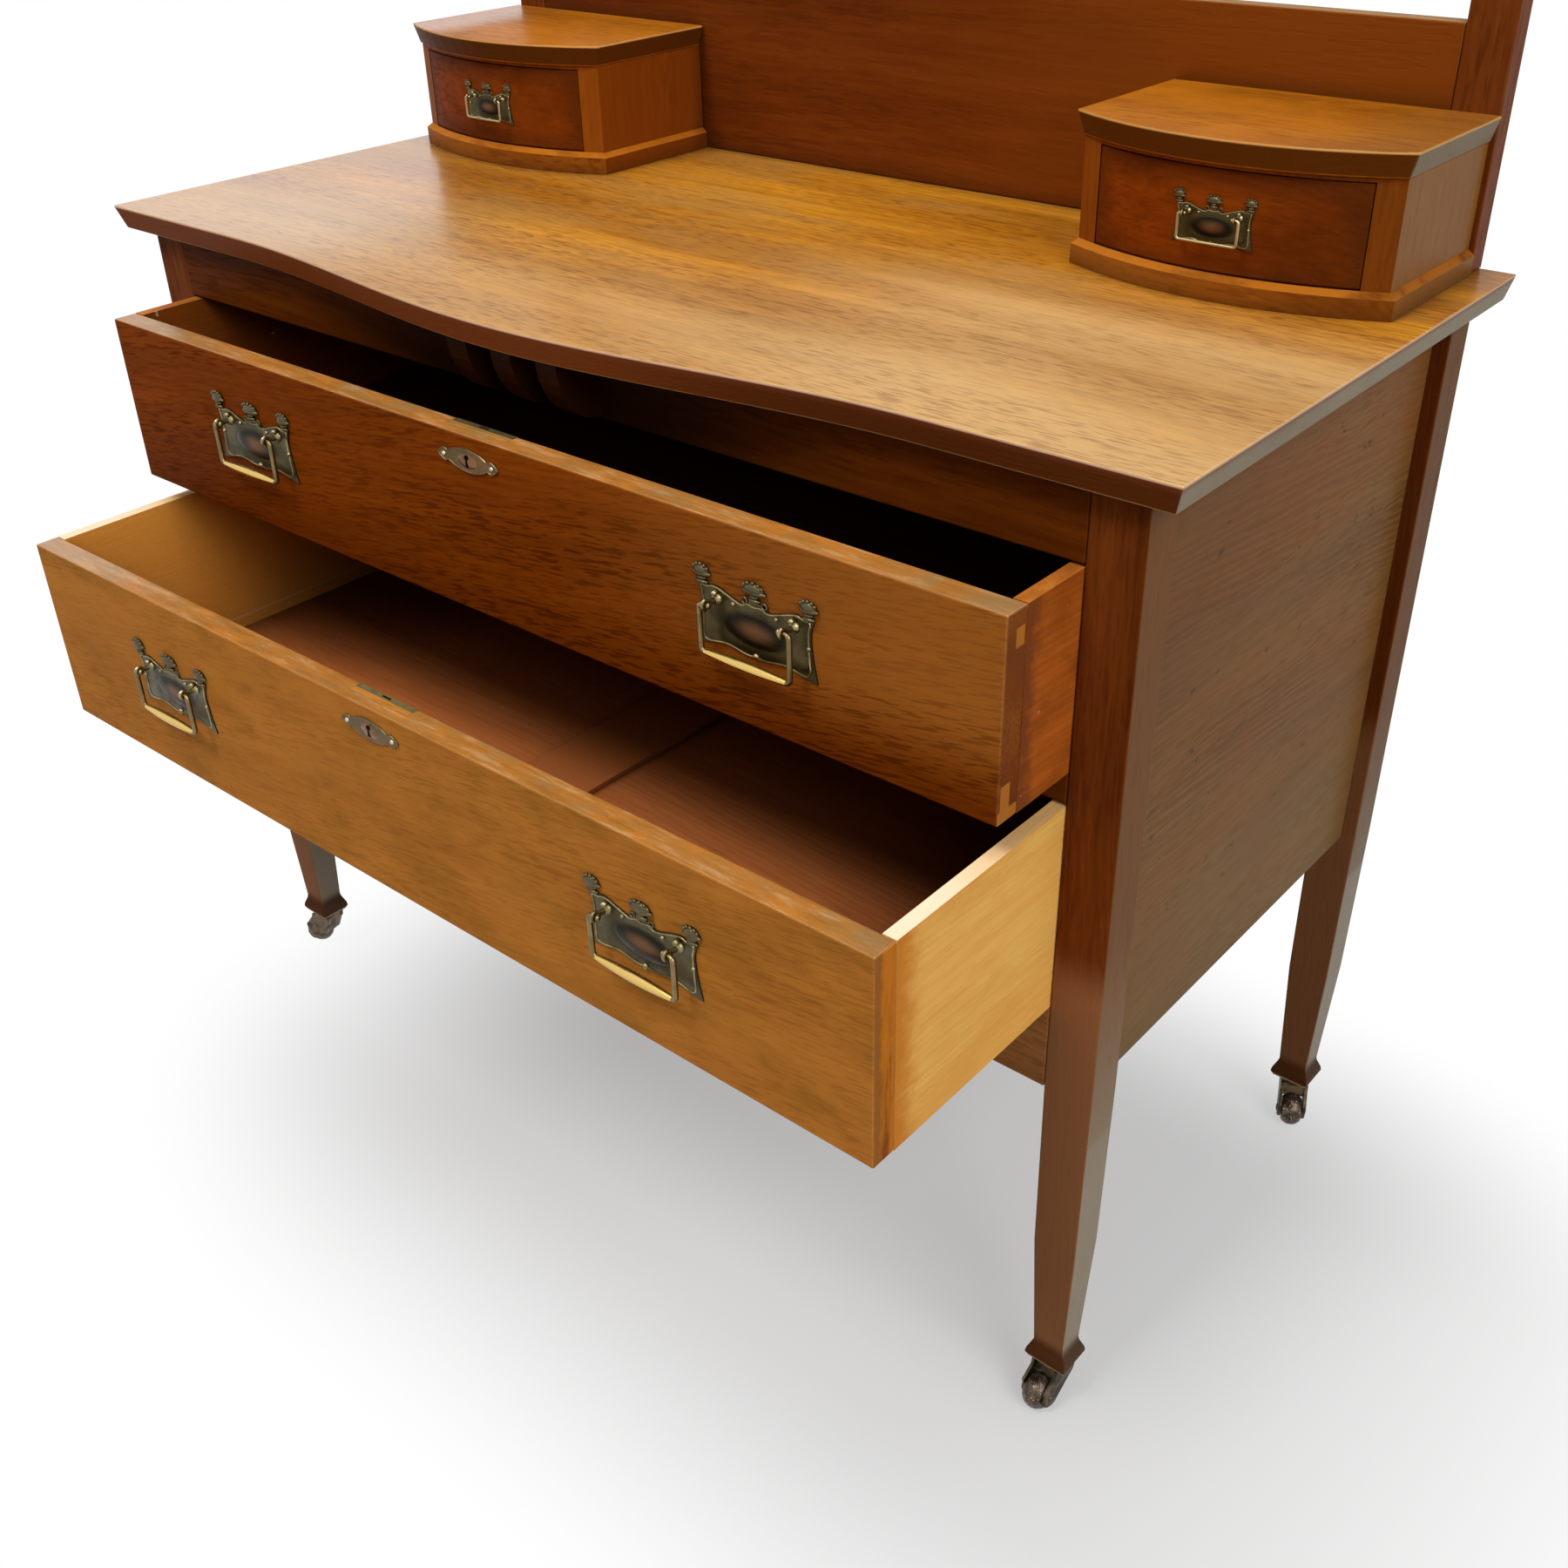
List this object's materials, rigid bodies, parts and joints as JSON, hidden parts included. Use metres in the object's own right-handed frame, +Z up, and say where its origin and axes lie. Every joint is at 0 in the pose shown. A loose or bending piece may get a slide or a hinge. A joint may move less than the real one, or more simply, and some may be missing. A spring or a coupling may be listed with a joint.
{
  "type": "dressing chest",
  "caption": "Oak dressing chest on castors with serpentine-fronted top, open long drawers with brass bail handles, bow-fronted trinket boxes and a tilting mirror between uprights.",
  "frame": {"origin": "floor point under the middle of the bounding box of the object as it stands, with its long drawers part open", "axes": "+X to the right of a person who faces the drawers, +Y to the back, +Z up"},
  "size_m": [1.0692, 0.6966, 1.642],
  "materials": {
    "oak": "warm brown oak, worn polish",
    "dark_oak": "darker red-brown oak, worn polish",
    "pale_drawer_wood": "pale unpolished drawer lining",
    "red_drawer_wood": "unpolished red-brown boards",
    "antique_brass": "dark lacquered stamped brass",
    "bright_brass": "cast brass, rubbed bright",
    "castor_brass": "dull dark brass",
    "castor_wheel": "dark turned hardwood, rubbed",
    "mirror_glass": "silvered plate glass"
  },
  "bodies": {
    "chest": {"top_board": "oak", "front_left_leg": "oak", "front_right_leg": "oak", "back_left_leg": "oak", "back_right_leg": "oak", "left_side_panel": "oak", "right_side_panel": "oak", "frieze_rail": "oak", "drawer_rail": "oak", "bottom_rail": "oak", "upper_dust_board": "red_drawer_wood", "lower_dust_board": "red_drawer_wood", "back_panel": "red_drawer_wood", "frieze_bracket": "oak", "left_trinket_case": "oak", "left_trinket_top": "oak", "right_trinket_case": "oak", "right_trinket_top": "oak", "splash_board": "dark_oak", "left_upright": "dark_oak", "left_mirror_pivot": "antique_brass", "right_upright": "dark_oak", "right_mirror_pivot": "antique_brass"},
    "upper_drawer": {"upper_drawer_front": "oak", "upper_drawer_box": "pale_drawer_wood", "upper_drawer_bottom": "red_drawer_wood", "upper_drawer_lock": "antique_brass", "upper_drawer_escutcheon": "antique_brass", "upper_drawer_left_plate": "antique_brass", "upper_drawer_right_plate": "antique_brass"},
    "upper_drawer_left_bail": {"upper_drawer_left_bail": "bright_brass"},
    "upper_drawer_right_bail": {"upper_drawer_right_bail": "bright_brass"},
    "lower_drawer": {"lower_drawer_front": "oak", "lower_drawer_box": "pale_drawer_wood", "lower_drawer_bottom": "red_drawer_wood", "lower_drawer_lock": "antique_brass", "lower_drawer_escutcheon": "antique_brass", "lower_drawer_left_plate": "antique_brass", "lower_drawer_right_plate": "antique_brass"},
    "lower_drawer_left_bail": {"lower_drawer_left_bail": "bright_brass"},
    "lower_drawer_right_bail": {"lower_drawer_right_bail": "bright_brass"},
    "left_trinket_drawer": {"left_trinket_drawer_front": "dark_oak", "left_trinket_drawer_tray": "pale_drawer_wood", "left_trinket_plate": "antique_brass"},
    "left_trinket_bail": {"left_trinket_bail": "bright_brass"},
    "right_trinket_drawer": {"right_trinket_drawer_front": "dark_oak", "right_trinket_drawer_tray": "pale_drawer_wood", "right_trinket_plate": "antique_brass"},
    "right_trinket_bail": {"right_trinket_bail": "bright_brass"},
    "mirror": {"mirror_frame": "dark_oak", "mirror_glass": "mirror_glass", "mirror_back": "red_drawer_wood"},
    "front_left_castor": {"front_left_castor_horn": "castor_brass"},
    "front_left_wheel": {"front_left_castor_wheel": "castor_wheel"},
    "front_right_castor": {"front_right_castor_horn": "castor_brass"},
    "front_right_wheel": {"front_right_castor_wheel": "castor_wheel"},
    "back_left_castor": {"back_left_castor_horn": "castor_brass"},
    "back_left_wheel": {"back_left_castor_wheel": "castor_wheel"},
    "back_right_castor": {"back_right_castor_horn": "castor_brass"},
    "back_right_wheel": {"back_right_castor_wheel": "castor_wheel"}
  },
  "joints": [
    {"name": "upper_drawer_slide", "type": "slide", "parent": "chest", "child": "upper_drawer", "axis": [0, -1, 0], "range_m": [-0.08, 0.27]},
    {"name": "lower_drawer_slide", "type": "slide", "parent": "chest", "child": "lower_drawer", "axis": [0, -1, 0], "range_m": [-0.201, 0.149]},
    {"name": "left_trinket_slide", "type": "slide", "parent": "chest", "child": "left_trinket_drawer", "axis": [0, -1, 0], "range_m": [0, 0.085]},
    {"name": "right_trinket_slide", "type": "slide", "parent": "chest", "child": "right_trinket_drawer", "axis": [0, -1, 0], "range_m": [0, 0.085]},
    {"name": "upper_drawer_left_bail_swing", "type": "hinge", "parent": "upper_drawer", "child": "upper_drawer_left_bail", "pos_m": [-0.275, -0.2224, 0.6962], "axis": [-1, 0, 0], "range_deg": [-8, 100]},
    {"name": "upper_drawer_right_bail_swing", "type": "hinge", "parent": "upper_drawer", "child": "upper_drawer_right_bail", "pos_m": [0.275, -0.2224, 0.6962], "axis": [-1, 0, 0], "range_deg": [-8, 100]},
    {"name": "lower_drawer_left_bail_swing", "type": "hinge", "parent": "lower_drawer", "child": "lower_drawer_left_bail", "pos_m": [-0.275, -0.3434, 0.5142], "axis": [-1, 0, 0], "range_deg": [-8, 100]},
    {"name": "lower_drawer_right_bail_swing", "type": "hinge", "parent": "lower_drawer", "child": "lower_drawer_right_bail", "pos_m": [0.275, -0.3434, 0.5142], "axis": [-1, 0, 0], "range_deg": [-8, 100]},
    {"name": "left_trinket_bail_swing", "type": "hinge", "parent": "left_trinket_drawer", "child": "left_trinket_bail", "pos_m": [-0.37725, 0.1553, 0.8853], "axis": [-1, 0, 0], "range_deg": [-8, 100]},
    {"name": "right_trinket_bail_swing", "type": "hinge", "parent": "right_trinket_drawer", "child": "right_trinket_bail", "pos_m": [0.37725, 0.1553, 0.8853], "axis": [-1, 0, 0], "range_deg": [-8, 100]},
    {"name": "mirror_tilt", "type": "hinge", "parent": "chest", "child": "mirror", "pos_m": [0, 0.33665, 1.342], "axis": [1, 0, 0], "range_deg": [-20, 20]},
    {"name": "front_left_castor_swivel", "type": "hinge", "parent": "chest", "child": "front_left_castor", "pos_m": [-0.487, -0.1126, 0], "axis": [0, 0, 1], "continuous": true},
    {"name": "front_left_wheel_spin", "type": "hinge", "parent": "front_left_castor", "child": "front_left_wheel", "pos_m": [-0.50271, -0.11565, 0.0155], "axis": [-0.1908, 0.9816, 0], "continuous": true},
    {"name": "front_right_castor_swivel", "type": "hinge", "parent": "chest", "child": "front_right_castor", "pos_m": [0.487, -0.1126, 0], "axis": [0, 0, 1], "continuous": true},
    {"name": "front_right_wheel_spin", "type": "hinge", "parent": "front_right_castor", "child": "front_right_wheel", "pos_m": [0.48477, -0.12844, 0.0155], "axis": [-0.9903, 0.1392, 0], "continuous": true},
    {"name": "back_left_castor_swivel", "type": "hinge", "parent": "chest", "child": "back_left_castor", "pos_m": [-0.487, 0.3194, 0], "axis": [0, 0, 1], "continuous": true},
    {"name": "back_left_wheel_spin", "type": "hinge", "parent": "back_left_castor", "child": "back_left_wheel", "pos_m": [-0.49247, 0.30436, 0.0155], "axis": [-0.9397, 0.342, 0], "continuous": true},
    {"name": "back_right_castor_swivel", "type": "hinge", "parent": "chest", "child": "back_right_castor", "pos_m": [0.487, 0.3194, 0], "axis": [0, 0, 1], "continuous": true},
    {"name": "back_right_wheel_spin", "type": "hinge", "parent": "back_right_castor", "child": "back_right_wheel", "pos_m": [0.49426, 0.30514, 0.0155], "axis": [-0.891, -0.454, 0], "continuous": true}
  ]
}
